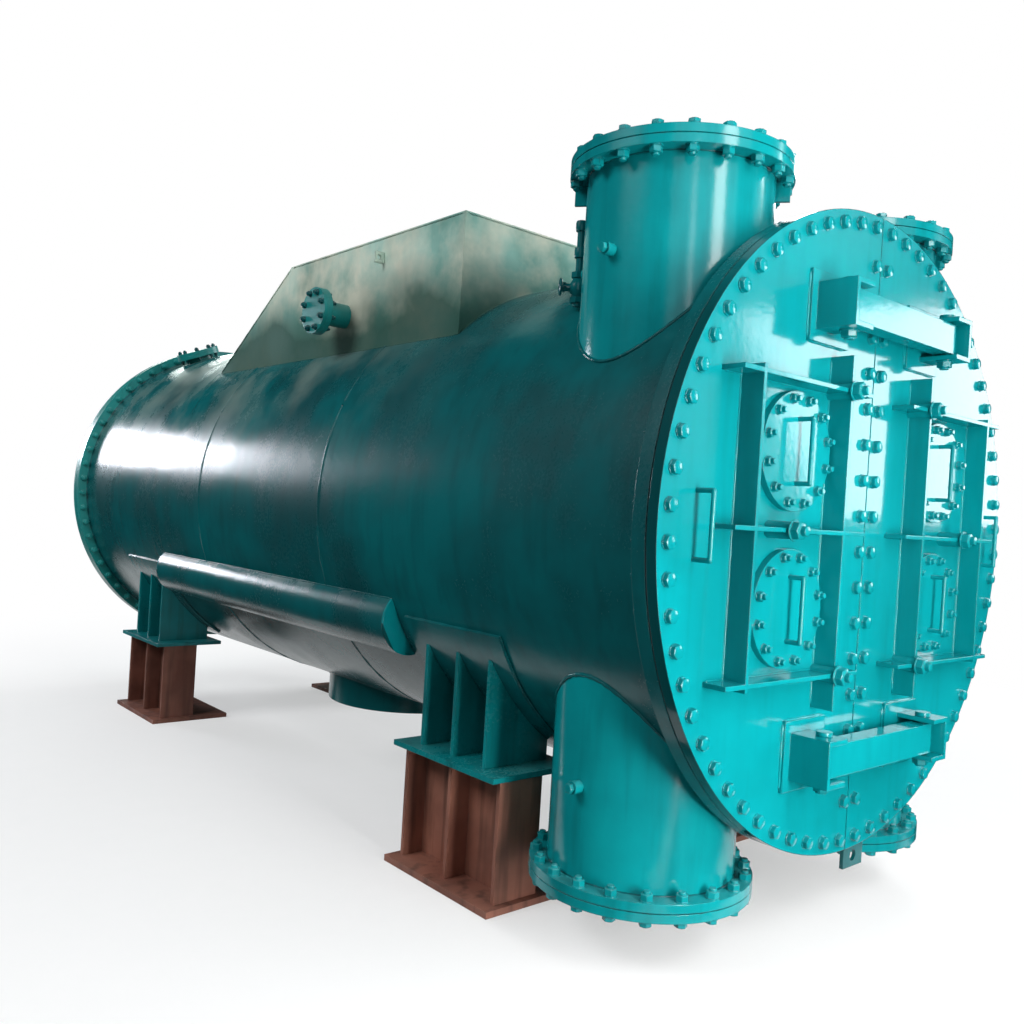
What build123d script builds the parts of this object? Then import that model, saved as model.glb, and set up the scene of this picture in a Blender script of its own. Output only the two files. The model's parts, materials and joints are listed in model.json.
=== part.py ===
from build123d import *
from math import cos, radians, sin, sqrt
import os

# A shell and tube heat exchanger that lies on two pairs of legs.
# Millimetres, +Z up, the floor at Z 0, the door end towards -Y, the shell axis above X 0.

# shell
axis_height = 1400
shell_radius = 1015
shell_wall = 16
body_length = 5204
tube_sheet_depth = 800
tube_sheet_thickness = 40

# doors and end flanges
flange_width = 75
cover_radius = shell_radius + flange_width
door_thickness = 36
split_gap = 6
seat_gap = 0.5
gasket_thickness = 4
gasket_inset = 3
flange_thickness = 50
rear_flange_width = 60
rear_flange_radius = shell_radius + rear_flange_width
rear_flange_thickness = 45
rear_cover_thickness = 45
partition_thickness = 16
partition_bar_width = 120
partition_bar_depth = 40
pass_plate_gap = 20

# stiffening ribs of the doors
rib_height = 80
rib_thickness = 14
inner_rib_place = 270
inner_rib_reach = 570
outer_rib_place = 750
outer_rib_reach = 475
cross_rib_place = 455
cross_rib_start = 140
cross_rib_end = 850

# manholes and grips
manhole_x = 475
manhole_z = 245
manhole_radius = 145
manhole_cover_radius = 187
manhole_cover_thickness = 22
grip_rod_radius = 7.5
manhole_grip_length = 200
manhole_grip_height = 57
door_grip_place = 928
door_grip_length = 195
door_grip_height = 66

# links that carry the left door
link_height = 715
link_beam_height = 105
link_beam_thickness = 64
link_face = 120
pin_place = 330
pin_radius = 16
pin_clearance = 0.5
pin_overhang = 30
pin_head_radius = 26
pin_head_height = 14
bracket_half_height = 75
bracket_reach = 148
bracket_plate = 16
bracket_outer = 398
bracket_inner = 292
pad_outer = 430
pad_inner = 200
pad_half_height = 113
pad_thickness = 12

# cooling water nozzles
nozzle_x = 568
nozzle_depth = 432
nozzle_radius = 315
nozzle_wall = 10
nozzle_reach = 1206
nozzle_flange_radius = 375
nozzle_flange_thickness = 28
nozzle_gasket = 3
nozzle_gasket_width = 25
pipe_clearance = 3
coupling_height = 855
coupling_radius = 21
coupling_hole_radius = 12
coupling_length = 34
valve_angle = 114.5
valve_coupling_length = 20
ear_width = 46
ear_height = 66
ear_thickness = 12
ear_angle = 125

# steam hood
hood_half_width = 720
hood_height = 1225
hood_front_depth = 1430
hood_top_end = 2934
hood_foot_end = 3760
hood_foot_height = 715
hood_plate = 12
steam_opening_half_width = 600
steam_opening_start = 1520
steam_opening_end = 2900

# small nozzles
stub_radius = 57
stub_wall = 5
stub_reach = 150
stub_flange_radius = 110
stub_flange_thickness = 22
stub_depth = 2350
stub_height = 893
hood_lug_depth = 2035
hood_lug_height = 1125
hood_lug_reach = 48
hood_lug_thickness = 12
hood_lug_length = 52
hood_lug_hole_radius = 11
hood_lug_hole_place = 28
vent_radius = 84
vent_wall = 6
vent_flange_radius = 142
vent_flange_thickness = 22
vent_stand_off = 50
vent_reach = shell_radius + vent_stand_off
vent_depth = 4889
vent_angle = 113

# legs
front_leg_depth = 1103
rear_leg_depth = 4257
leg_outer = 930
leg_inner = 534
leg_half_length = 307
leg_plate_drop = 940
leg_plate_top = axis_height - leg_plate_drop
leg_plate_thickness = 20
saddle_outer = 880
saddle_inner = 580
saddle_rib_spacing = 190
saddle_rib_thickness = 16
saddle_web_place = 640
pad_plate_thickness = 12
pad_plate_start = 25
pad_plate_end = 58
pad_plate_half_length = 290
stand_outer = 880
stand_inner = 680
stand_rib_spacing = 280
stand_rib_thickness = 16
stand_web_thickness = 16
base_outer = 935
base_inner = 474
base_half_length = 318
base_thickness = 24

# hotwell under the shell
hotwell_radius = 440
hotwell_depth = 2645
hotwell_bottom = 1062
hotwell_wall = 10
hotwell_floor = 14

# side pipes
side_pipe_radius = 136.5
side_pipe_wall = 8
side_pipe_centre = 966
side_pipe_angle = 208.8
side_pipe_gap = 66
side_pipe_start = front_leg_depth + pad_plate_half_length + side_pipe_gap
side_pipe_end = rear_leg_depth - pad_plate_half_length - side_pipe_gap
side_pipe_cap = 10

# jacking plate under the front flange
jack_plate_left = 105
jack_plate_right = 235
jack_plate_drop = 110
jack_plate_bottom = cover_radius + jack_plate_drop
jack_plate_overlap = 60
jack_plate_thickness = 14
jack_plate_depth = 60
jack_hole_radius = 20

# the part is set so that its bounding box is centred on the frame
rear_face = body_length + rear_flange_thickness + gasket_thickness + rear_cover_thickness + rib_height
face = -(rear_face - bracket_reach) / 2
seat = face + door_thickness + seat_gap
flange_front = seat + gasket_thickness
barrel_front = flange_front + flange_thickness
barrel_rear = face + body_length
inner_radius = shell_radius - shell_wall
sheet_front = face + tube_sheet_depth
pin_y = face - link_face + link_beam_thickness / 2
nozzle_y = face + nozzle_depth
left_and_right = (-1, 1)


def box(x, y, z):
    """A block from its three pairs of limits."""
    size = [high - low for low, high in (x, y, z)]
    middle = [(high + low) / 2 for low, high in (x, y, z)]
    return Pos(*middle) * Box(*size)


def drum(radius, y_from, y_to, x=0, z=axis_height):
    """A cylinder that runs along Y."""
    return Pos(x, (y_from + y_to) / 2, z) * Rot(90, 0, 0) * Cylinder(radius, y_to - y_from)


def post(radius, z_from, z_to, x, y):
    """A cylinder that runs along Z."""
    return Pos(x, y, (z_from + z_to) / 2) * Cylinder(radius, z_to - z_from)


def rod(radius, x_from, x_to, y, z):
    """A cylinder that runs along X."""
    return Pos((x_from + x_to) / 2, y, z) * Rot(0, 90, 0) * Cylinder(radius, abs(x_to - x_from))


def sided(side, near, far):
    """Limits along X at the same distances on the chosen side."""
    return tuple(sorted((side * near, side * far)))


def save(name, *shapes):
    solids = [solid for shape in shapes for solid in shape.solids()]
    body = solids[0] if len(solids) == 1 else Compound(children=solids)
    body.label = name
    export_step(body, f"parts/{name}.step")
    print(name, len(solids), round(sum(s.volume for s in solids) / 1e6, 2))


os.makedirs("parts", exist_ok=True)
shell_solid = drum(shell_radius, face, barrel_rear)
whole_length = (face - 10, barrel_rear + 10)


# shell with its openings
def nozzle_axis_post(radius, side, above):
    low, high = (0, nozzle_reach) if above > 0 else (-nozzle_reach, 0)
    return post(radius, axis_height + low, axis_height + high, side * nozzle_x, nozzle_y)


barrel = drum(shell_radius, barrel_front, barrel_rear) - drum(inner_radius, *whole_length)
for side in left_and_right:
    for above in (1, -1):
        barrel -= nozzle_axis_post(nozzle_radius - nozzle_wall, side, above)
barrel -= box(
    (-steam_opening_half_width, steam_opening_half_width),
    (face + steam_opening_start, face + steam_opening_end),
    (axis_height + shell_radius / 2, axis_height + 2 * shell_radius),
)
barrel -= post(
    hotwell_radius - hotwell_wall,
    axis_height - hotwell_bottom,
    axis_height - shell_radius / 2,
    0,
    face + hotwell_depth,
)
save("shell_barrel", barrel)

front_flange = drum(cover_radius, flange_front, barrel_front) - drum(inner_radius, *whole_length)
save("front_flange", front_flange)

rear_flange_end = barrel_rear + rear_flange_thickness
rear_flange = drum(rear_flange_radius, barrel_rear, rear_flange_end)
rear_flange -= drum(inner_radius, face, rear_flange_end + 10)
save("rear_flange", rear_flange)

front_gasket = drum(cover_radius - gasket_inset, seat, flange_front) - drum(inner_radius, *whole_length)
strip_half = partition_bar_width / 2
front_gasket += box(
    (-strip_half, strip_half),
    (seat, flange_front),
    (axis_height - inner_radius - 5, axis_height + inner_radius + 5),
)
rear_gasket_end = rear_flange_end + gasket_thickness
rear_gasket = drum(rear_flange_radius - gasket_inset, rear_flange_end, rear_gasket_end)
rear_gasket -= drum(inner_radius, face, rear_gasket_end + 10)
save("flange_gaskets", front_gasket, rear_gasket)

rear_cover_end = rear_gasket_end + rear_cover_thickness
save("rear_cover", drum(rear_flange_radius, rear_gasket_end, rear_cover_end))


# stiffening ribs, the same pattern on both doors and on the rear cover
def rib_grid(side, y_from, y_to):
    half = rib_thickness / 2
    grid = None
    for place, reach in ((inner_rib_place, inner_rib_reach), (outer_rib_place, outer_rib_reach)):
        upright = box(
            sided(side, place - half, place + half),
            (y_from, y_to),
            (axis_height - reach, axis_height + reach),
        )
        grid = upright if grid is None else grid + upright
    for level in (-cross_rib_place, 0, cross_rib_place):
        grid += box(
            sided(side, cross_rib_start, cross_rib_end),
            (y_from, y_to),
            (axis_height + level - half, axis_height + level + half),
        )
    return grid


rear_rib_end = rear_cover_end + rib_height
rear_ribs = [rib_grid(side, rear_cover_end, rear_rib_end) for side in left_and_right]
save("rear_cover_ribs", *rear_ribs)

# inside of the water box
water_box = drum(inner_radius, flange_front, sheet_front)
upright_plate = box(
    (-partition_thickness / 2, partition_thickness / 2),
    (flange_front, sheet_front),
    (axis_height - inner_radius, axis_height + inner_radius),
)
upright_plate += box(
    (-strip_half, strip_half),
    (flange_front, flange_front + partition_bar_depth),
    (axis_height - inner_radius, axis_height + inner_radius),
)
pass_plate = box(
    (-inner_radius, inner_radius),
    (barrel_front + pass_plate_gap, sheet_front),
    (axis_height - partition_thickness / 2, axis_height + partition_thickness / 2),
)
save("partition_plates", (upright_plate + pass_plate) & water_box)
save("tube_sheet", drum(inner_radius, sheet_front, sheet_front + tube_sheet_thickness))


# the two half doors
def door_half(side):
    half = drum(cover_radius, face, face + door_thickness)
    half &= box(
        sided(side, split_gap / 2, cover_radius + 10),
        (face - 10, face + door_thickness + 10),
        (axis_height - cover_radius - 10, axis_height + cover_radius + 10),
    )
    for above in (1, -1):
        hole_z = axis_height + above * manhole_z
        half -= drum(manhole_radius, face - 10, face + door_thickness + 10, side * manhole_x, hole_z)
    return half


def manhole_cover(side, above):
    place = (side * manhole_x, axis_height + above * manhole_z)
    return drum(manhole_cover_radius, face - manhole_cover_thickness, face, *place)


def grip(x, z, y_foot, length, height):
    """A round bar grip: one upright bar on two legs."""
    y_bar = y_foot - height + grip_rod_radius
    bar = post(grip_rod_radius, z - length / 2, z + length / 2, x, y_bar)
    for end in (-1, 1):
        end_z = z + end * length / 2
        bar += drum(grip_rod_radius, y_bar, y_foot, x, end_z)
        bar += Pos(x, y_bar, end_z) * Sphere(grip_rod_radius)
    return bar


def bracket(side, above):
    """Box bracket of a link: a pad, a side plate and two ears with a pin hole."""
    z = axis_height + above * link_height
    body = box(
        sided(side, pad_inner, pad_outer),
        (face - pad_thickness, face),
        (z - pad_half_height, z + pad_half_height),
    )
    body += box(
        sided(side, bracket_outer - bracket_plate, bracket_outer),
        (face - bracket_reach, face - pad_thickness),
        (z - bracket_half_height, z + bracket_half_height),
    )
    for end in (-1, 1):
        ear_z = sorted((end * bracket_half_height, end * (bracket_half_height - bracket_plate)))
        ear = box(
            sided(side, bracket_inner, bracket_outer),
            (face - bracket_reach, face - pad_thickness),
            (z + ear_z[0], z + ear_z[1]),
        )
        body += ear
    hole_low = z - bracket_half_height - 10
    hole_high = z + bracket_half_height + 10
    hole = pin_radius + (pin_clearance if side < 0 else 0)
    return body - post(hole, hole_low, hole_high, side * pin_place, pin_y)


def pin(side, above):
    z = axis_height + above * link_height
    top = z + bracket_half_height
    foot = top - 2 * bracket_half_height - pin_overhang
    head_foot = top + pin_clearance
    body = post(pin_radius, foot, head_foot, side * pin_place, pin_y)
    return body + post(pin_head_radius, head_foot, head_foot + pin_head_height, side * pin_place, pin_y)


def link(above):
    z = axis_height + above * link_height
    half_height = link_beam_height / 2
    half_thick = link_beam_thickness / 2
    beam = box(
        (-pin_place, pin_place),
        (pin_y - half_thick, pin_y + half_thick),
        (z - half_height, z + half_height),
    )
    for side in left_and_right:
        beam += post(half_thick, z - half_height, z + half_height, side * pin_place, pin_y)
    for side in left_and_right:
        hole = pin_radius + (pin_clearance if side > 0 else 0)
        beam -= post(hole, z - half_height - 5, z + half_height + 5, side * pin_place, pin_y)
    return beam


for side, name in ((-1, "left"), (1, "right")):
    save(f"{name}_door", door_half(side))
    save(f"{name}_door_ribs", rib_grid(side, face - rib_height, face))
    save(f"{name}_manhole_covers", *[manhole_cover(side, above) for above in (1, -1)])
    cover_face = face - manhole_cover_thickness
    grips = [
        grip(
            side * manhole_x,
            axis_height + above * manhole_z,
            cover_face,
            manhole_grip_length,
            manhole_grip_height,
        )
        for above in (1, -1)
    ]
    grips.append(grip(side * door_grip_place, axis_height, face, door_grip_length, door_grip_height))
    save(f"{name}_grips", *grips)
    save(f"{name}_link_brackets", *[bracket(side, above) for above in (1, -1)])
    save(f"{name}_pins", *[pin(side, above) for above in (1, -1)])
save("links", link(1), link(-1))


# cooling water nozzles, two above and two below
def ring(radius, hole, low, high, x, y):
    return post(radius, low, high, x, y) - post(hole, low - 5, high + 5, x, y)


def level(above, height):
    return axis_height + above * height


def nozzle(side, above):
    x = side * nozzle_x
    flange_outer = nozzle_reach - nozzle_flange_thickness - nozzle_gasket
    flange_inner = flange_outer - nozzle_flange_thickness
    low, high = sorted((level(above, 0), level(above, flange_outer)))
    pipe = post(nozzle_radius, low, high, x, nozzle_y) - shell_solid
    low, high = sorted((level(above, flange_inner), level(above, flange_outer)))
    pipe += post(nozzle_flange_radius, low, high, x, nozzle_y)
    low, high = sorted((level(above, 0), level(above, nozzle_reach)))
    return pipe - post(nozzle_radius - nozzle_wall, low, high, x, nozzle_y)


def counter_flange(side, above):
    low, high = sorted((level(above, nozzle_reach - nozzle_flange_thickness), level(above, nozzle_reach)))
    return ring(nozzle_flange_radius, nozzle_radius + pipe_clearance, low, high, side * nozzle_x, nozzle_y)


def nozzle_gasket_ring(side, above):
    outer = nozzle_reach - nozzle_flange_thickness
    low, high = sorted((level(above, outer - nozzle_gasket), level(above, outer)))
    hole = nozzle_radius - nozzle_wall
    return ring(hole + nozzle_gasket_width, hole, low, high, side * nozzle_x, nozzle_y)


def coupling(side, above, angle, length):
    """A half coupling that stands out of a nozzle, closed by a plug at its root."""
    z = level(above, coupling_height)
    body = rod(coupling_radius, nozzle_radius - 20, nozzle_radius + length, 0, 0)
    body -= rod(coupling_hole_radius, nozzle_radius + length / 2, nozzle_radius + length + 5, 0, 0)
    turned = Pos(side * nozzle_x, nozzle_y, z) * Rot(0, 0, angle) * body
    return turned - post(nozzle_radius, z - 60, z + 60, side * nozzle_x, nozzle_y)


def ear_plate(side, angle):
    """A lifting ear under the flange of an upper nozzle."""
    top = level(1, nozzle_reach - 2 * nozzle_flange_thickness - nozzle_gasket)
    plate = Pos(nozzle_radius + ear_width / 2 - 4, 0, top - ear_height / 2)
    plate = plate * Box(ear_width + 8, ear_thickness, ear_height)
    turned = Pos(side * nozzle_x, nozzle_y, 0) * Rot(0, 0, angle) * plate
    return turned - post(nozzle_radius, top - 2 * ear_height, top + 10, side * nozzle_x, nozzle_y)


for above, name in ((1, "upper"), (-1, "lower")):
    save(f"{name}_nozzles", *[nozzle(side, above) for side in left_and_right])
    save(f"{name}_counter_flanges", *[counter_flange(side, above) for side in left_and_right])
save(
    "nozzle_gaskets",
    *[nozzle_gasket_ring(side, above) for side in left_and_right for above in (1, -1)],
)
couplings = []
for side in left_and_right:
    outward = 180 if side < 0 else 0
    for above in (1, -1):
        couplings.append(coupling(side, above, outward, coupling_length))
    back_angle = valve_angle if side < 0 else 180 - valve_angle
    couplings.append(coupling(side, 1, back_angle, valve_coupling_length))
save("nozzle_couplings", *couplings)
ears = []
for side in left_and_right:
    for angle in (ear_angle, ear_angle - 180):
        ears.append(ear_plate(side, angle if side < 0 else 180 - angle))
save("lifting_ears", *ears)

# steam hood on top of the shell
slope_run = hood_foot_end - hood_top_end
slope_drop = hood_height - hood_foot_height
slope = slope_drop / slope_run


def hood_block(inset):
    """The hood's outline seen from the side, pushed across the shell, thinner by the inset."""
    front = face + hood_front_depth + inset
    top = axis_height + hood_height - inset
    slope_shift = inset * sqrt(1 + slope**2) / slope
    slope_start = face + hood_top_end - slope_shift + inset / slope
    foot = axis_height + shell_radius / 4
    slope_end = slope_start + (top - foot) / slope
    outline = Polyline((front, foot), (front, top), (slope_start, top), (slope_end, foot), close=True)
    side_face = make_face(Plane.YZ * outline)
    half = hood_half_width - inset
    return extrude(side_face, amount=half, both=True)


hood_outer = hood_block(0)
hood = hood_outer - hood_block(hood_plate) - shell_solid
hood_top_start = face + hood_front_depth
lid_low = axis_height + hood_height - hood_plate
hood_lid = hood_outer & box(
    (-hood_half_width, hood_half_width),
    (hood_top_start, face + hood_foot_end),
    (lid_low, axis_height + hood_height),
)
save("hood_walls", hood - hood_lid)
save("hood_top_plate", hood_lid)

stubs = []
stub_blinds = []
hood_lugs = []
for side in left_and_right:
    wall = hood_half_width
    stub_y = face + stub_depth
    stub_z = axis_height + stub_height
    flange_from = wall + stub_reach - stub_flange_thickness
    pipe = rod(stub_radius, side * wall, side * (wall + stub_reach), stub_y, stub_z)
    pipe += rod(stub_flange_radius, side * flange_from, side * (wall + stub_reach), stub_y, stub_z)
    pipe -= rod(
        stub_radius - stub_wall, side * (wall + 1), side * (wall + stub_reach + 5), stub_y, stub_z
    )
    stubs.append(pipe)
    blind_to = wall + stub_reach + stub_flange_thickness
    stub_blinds.append(
        rod(stub_flange_radius, side * (wall + stub_reach), side * blind_to, stub_y, stub_z)
    )
    lug_y = face + hood_lug_depth
    lug_z = axis_height + hood_lug_height
    lug_half = hood_lug_thickness / 2
    lug = box(
        sided(side, wall, wall + hood_lug_reach),
        (lug_y - lug_half, lug_y + lug_half),
        (lug_z - hood_lug_length / 2, lug_z + hood_lug_length / 2),
    )
    lug_hole_x = side * (wall + hood_lug_hole_place)
    lug -= drum(hood_lug_hole_radius, lug_y - 10, lug_y + 10, lug_hole_x, lug_z)
    hood_lugs.append(lug)
save("hood_stubs", *stubs)
save("hood_stub_blinds", *stub_blinds)
save("hood_lugs", *hood_lugs)

# vent nozzle near the rear flange
vent_flange_from = vent_reach - vent_flange_thickness
vent = rod(vent_radius, inner_radius - 60, vent_reach, 0, 0)
vent += rod(vent_flange_radius, vent_flange_from, vent_reach, 0, 0)
vent -= rod(vent_radius - vent_wall, inner_radius - 80, vent_reach + 5, 0, 0)
vent_blind = rod(vent_flange_radius, vent_reach, vent_reach + vent_flange_thickness, 0, 0)
vent_place = Pos(0, face + vent_depth, axis_height) * Rot(0, -vent_angle, 0)
save("vent_nozzle", vent_place * vent - shell_solid)
save("vent_blind", vent_place * vent_blind)

# half round pipes along both sides
side_pipes = []
side_pipe_caps = []
for side in left_and_right:
    angle = side_pipe_angle if side < 0 else 180 - side_pipe_angle
    x = side_pipe_centre * cos(radians(angle))
    z = axis_height + side_pipe_centre * sin(radians(angle))
    start = face + side_pipe_start
    end = face + side_pipe_end
    pipe = drum(side_pipe_radius, start + side_pipe_cap, end - side_pipe_cap, x, z)
    pipe -= drum(side_pipe_radius - side_pipe_wall, start, end, x, z)
    side_pipes.append(pipe - shell_solid)
    for low, high in ((start, start + side_pipe_cap), (end - side_pipe_cap, end)):
        side_pipe_caps.append(drum(side_pipe_radius, low, high, x, z) - shell_solid)
save("side_pipes", *side_pipes)
save("side_pipe_caps", *side_pipe_caps)

# hotwell
hotwell_y = face + hotwell_depth
hotwell_low = axis_height - hotwell_bottom
hotwell = ring(
    hotwell_radius,
    hotwell_radius - hotwell_wall,
    hotwell_low,
    axis_height - shell_radius / 2,
    0,
    hotwell_y,
)
hotwell_base = post(hotwell_radius, hotwell_low, hotwell_low + hotwell_floor, 0, hotwell_y)
save("hotwell", (hotwell + hotwell_base) - shell_solid)

# legs
pad_plates = []
saddles = []
leg_plates = []
stands = []
base_plates = []
far = 1.5 * shell_radius
for side in left_and_right:
    for leg_depth in (front_leg_depth, rear_leg_depth):
        y = face + leg_depth
        pad_outer_radius = shell_radius + pad_plate_thickness
        pad_band = drum(pad_outer_radius, y - pad_plate_half_length, y + pad_plate_half_length)
        wedge = Polyline(
            (0, 0),
            (side * far * cos(radians(pad_plate_start)), -far * sin(radians(pad_plate_start))),
            (side * far * cos(radians(pad_plate_end)), -far * sin(radians(pad_plate_end))),
            close=True,
        )
        wedge_face = make_face(Plane.XZ * wedge)
        wedge_block = Pos(0, y, axis_height) * extrude(wedge_face, amount=far, both=True)
        pad_plates.append((pad_band - shell_solid) & wedge_block)
        pad_solid = drum(pad_outer_radius, y - leg_half_length, y + leg_half_length)

        saddle = None
        for step in (-1, 0, 1):
            rib_y = y + step * saddle_rib_spacing
            half = saddle_rib_thickness / 2
            rib = box(
                sided(side, saddle_inner, saddle_outer),
                (rib_y - half, rib_y + half),
                (leg_plate_top + leg_plate_thickness, axis_height),
            )
            saddle = rib if saddle is None else saddle + rib
        saddle += box(
            sided(side, saddle_web_place, saddle_web_place + saddle_rib_thickness),
            (y - saddle_rib_spacing, y + saddle_rib_spacing),
            (leg_plate_top + leg_plate_thickness, axis_height),
        )
        saddles.append(saddle - pad_solid)
        leg_plates.append(
            box(
                sided(side, leg_inner, leg_outer),
                (y - leg_half_length, y + leg_half_length),
                (leg_plate_top, leg_plate_top + leg_plate_thickness),
            )
        )
        stand = None
        for step in (-1, 0, 1):
            rib_y = y + step * stand_rib_spacing
            half = stand_rib_thickness / 2
            rib = box(
                sided(side, stand_inner, stand_outer),
                (rib_y - half, rib_y + half),
                (base_thickness, leg_plate_top),
            )
            stand = rib if stand is None else stand + rib
        web_x = (stand_inner + stand_outer) / 2 - stand_web_thickness / 2
        stand += box(
            sided(side, web_x, web_x + stand_web_thickness),
            (y - stand_rib_spacing, y + stand_rib_spacing),
            (base_thickness, leg_plate_top),
        )
        stands.append(stand)
        base_plates.append(
            box(
                sided(side, base_inner, base_outer),
                (y - base_half_length, y + base_half_length),
                (0, base_thickness),
            )
        )
save("saddle_pads", *pad_plates)
save("saddles", *saddles)
save("saddle_base_plates", *leg_plates)
save("stands", *stands)
save("stand_base_plates", *base_plates)

# jacking plate
jack_y = face + jack_plate_depth
jack_plate = box(
    (jack_plate_left, jack_plate_right),
    (jack_y, jack_y + jack_plate_thickness),
    (axis_height - jack_plate_bottom, axis_height - cover_radius + jack_plate_overlap),
)
jack_plate -= drum(cover_radius, jack_y - 5, jack_y + jack_plate_thickness + 5)
jack_middle = (jack_plate_left + jack_plate_right) / 2
jack_plate -= drum(
    jack_hole_radius,
    jack_y - 5,
    jack_y + jack_plate_thickness + 5,
    jack_middle,
    axis_height - jack_plate_bottom + 2 * jack_hole_radius,
)
save("jacking_plate", jack_plate)
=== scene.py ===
import json
import math

import bmesh
import bpy
import numpy as np
from mathutils import Matrix, Vector


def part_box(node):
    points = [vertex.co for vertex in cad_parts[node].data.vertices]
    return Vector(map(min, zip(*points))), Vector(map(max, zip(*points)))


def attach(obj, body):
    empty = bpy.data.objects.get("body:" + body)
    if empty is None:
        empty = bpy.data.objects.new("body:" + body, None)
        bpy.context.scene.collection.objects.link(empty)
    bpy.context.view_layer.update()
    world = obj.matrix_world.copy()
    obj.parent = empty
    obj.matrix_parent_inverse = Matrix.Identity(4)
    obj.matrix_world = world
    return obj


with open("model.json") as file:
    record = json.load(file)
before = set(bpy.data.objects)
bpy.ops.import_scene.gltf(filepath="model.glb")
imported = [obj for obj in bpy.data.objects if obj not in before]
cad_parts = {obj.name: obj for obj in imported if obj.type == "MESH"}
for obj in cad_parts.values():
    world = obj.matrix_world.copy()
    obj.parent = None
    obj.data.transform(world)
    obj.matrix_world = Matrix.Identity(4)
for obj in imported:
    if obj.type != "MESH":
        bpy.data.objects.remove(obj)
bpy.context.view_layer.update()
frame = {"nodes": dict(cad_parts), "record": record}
nodes = frame["nodes"]
print("frame loaded:", len(nodes), "nodes")

spread = np.random.default_rng(11)  # one seeded source, so every run draws the same numbers
tau = 2 * math.pi

# places read from the solids, in metres
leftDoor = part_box("left_door")
doorFace = leftDoor[0].y
axisZ = (leftDoor[0].z + leftDoor[1].z) / 2
coverRadius = (leftDoor[1].z - leftDoor[0].z) / 2
frontFlange, rearFlange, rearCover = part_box("front_flange"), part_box("rear_flange"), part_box("rear_cover")
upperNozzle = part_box("upper_nozzles")
upperCounter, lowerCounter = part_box("upper_counter_flanges"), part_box("lower_counter_flanges")
nozzleY = (upperCounter[0].y + upperCounter[1].y) / 2
nozzleFlange = (upperCounter[1].y - upperCounter[0].y) / 2
nozzleX = upperCounter[1].x - nozzleFlange
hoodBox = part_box("hood_walls")
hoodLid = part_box("hood_top_plate")
# sizes that no box shows
shellRadius = 1.015  # the plain shell, without the flanges
nozzleRadius = 0.315
linkLevel = 0.715  # each link lies this far above or below the shell axis
doors = ((-1, "left_door", "left"), (1, "root", "right"))  # side, body and name of each half door


# surfaces on grids
def gridFaces(rows, columns, closeRows=False):
    # four-sided faces between neighbouring points of a grid whose last column meets the first
    index = np.arange(rows * columns).reshape(rows, columns)
    right = np.roll(index, -1, 1)
    quads = np.stack([index, right, np.roll(right, -1, 0), np.roll(index, -1, 0)], -1)
    return (quads if closeRows else quads[:-1]).reshape(-1, 4)


def addObject(name, data):
    made = bpy.data.objects.new(name, data)
    bpy.context.scene.collection.objects.link(made)
    return made


def makePiece(name, form, body, slot, crease=35):
    # a form is its points and its faces. Doubles are merged, the normals turned outwards, and the
    # edges that bend by more than crease degrees stay sharp
    points, faces = form
    mesh = bpy.data.meshes.new(name)
    mesh.from_pydata(np.asarray(points).reshape(-1, 3).tolist(), [], np.asarray(faces).tolist())
    work = bmesh.new()
    work.from_mesh(mesh)
    bmesh.ops.remove_doubles(work, verts=work.verts, dist=1e-6)
    bmesh.ops.recalc_face_normals(work, faces=work.faces)
    for edge in work.edges:
        if len(edge.link_faces) == 2:
            edge.smooth = edge.calc_face_angle(0) < math.radians(crease)
    for face in work.faces:
        face.smooth = True
    work.to_mesh(mesh)
    work.free()
    mesh.materials.append(paints[slot])
    piece = addObject(name, mesh)
    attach(piece, body)


def turned(profile, sides=12):
    # a lathe form: each profile row is (radius, height, hexed); where hexed is 1 the radius follows
    # the flats of a hexagon whose corners lie on the radius, r = R cos 30 / cos((a mod 60) - 30)
    radius, height, hexed = np.array(profile, float).T
    angle = tau * np.arange(sides) / sides
    flat = math.cos(math.pi / 6) / np.cos(np.mod(angle + 1e-9, math.pi / 3) - math.pi / 6)
    ring = radius[:, None] * (hexed[:, None] * flat + 1 - hexed[:, None])
    rise = np.broadcast_to(height[:, None], ring.shape)
    points = np.stack([ring * np.cos(angle), ring * np.sin(angle), rise], -1)
    return points, gridFaces(len(profile), sides)


def sideAndUp(ahead):
    # two directions square to each direction ahead: the cross products with an upright or level axis
    helper = np.where(np.abs(ahead[:, 2:3]) > 0.9, [[1.0, 0, 0]], [[0, 0, 1.0]])
    side = np.cross(helper, ahead)
    side /= np.linalg.norm(side, axis=1, keepdims=True)
    return side, np.cross(ahead, side)


def placeMany(template, faces, places, directions, turn=True):
    # copies of a template that stands along Z, each turned to its direction and moved to its place
    places = np.asarray(places, float).reshape(-1, 3)
    ahead = np.broadcast_to(np.asarray(directions, float), places.shape)
    ahead = ahead / np.linalg.norm(ahead, axis=1, keepdims=True)
    side, up = sideAndUp(ahead)
    spin = spread.uniform(0, tau, len(places)) if turn else np.zeros(len(places))
    first = np.cos(spin)[:, None] * side + np.sin(spin)[:, None] * up
    second = np.cross(ahead, first)
    flat = template.reshape(-1, 3)
    points = (
        places[:, None]
        + flat[None, :, 0:1] * first[:, None]
        + flat[None, :, 1:2] * second[:, None]
        + flat[None, :, 2:3] * ahead[:, None]
    )
    shift = np.arange(len(places))[:, None, None] * len(flat)
    return points.reshape(-1, 3), (faces[None] + shift).reshape(-1, faces.shape[-1])


def joinSets(sets):
    # several forms as one
    points, faces, count = [], [], 0
    for some, quads in sets:
        points.append(np.asarray(some).reshape(-1, 3))
        faces.append(np.asarray(quads) + count)
        count += len(points[-1])
    return np.concatenate(points), np.concatenate(faces)


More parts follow.
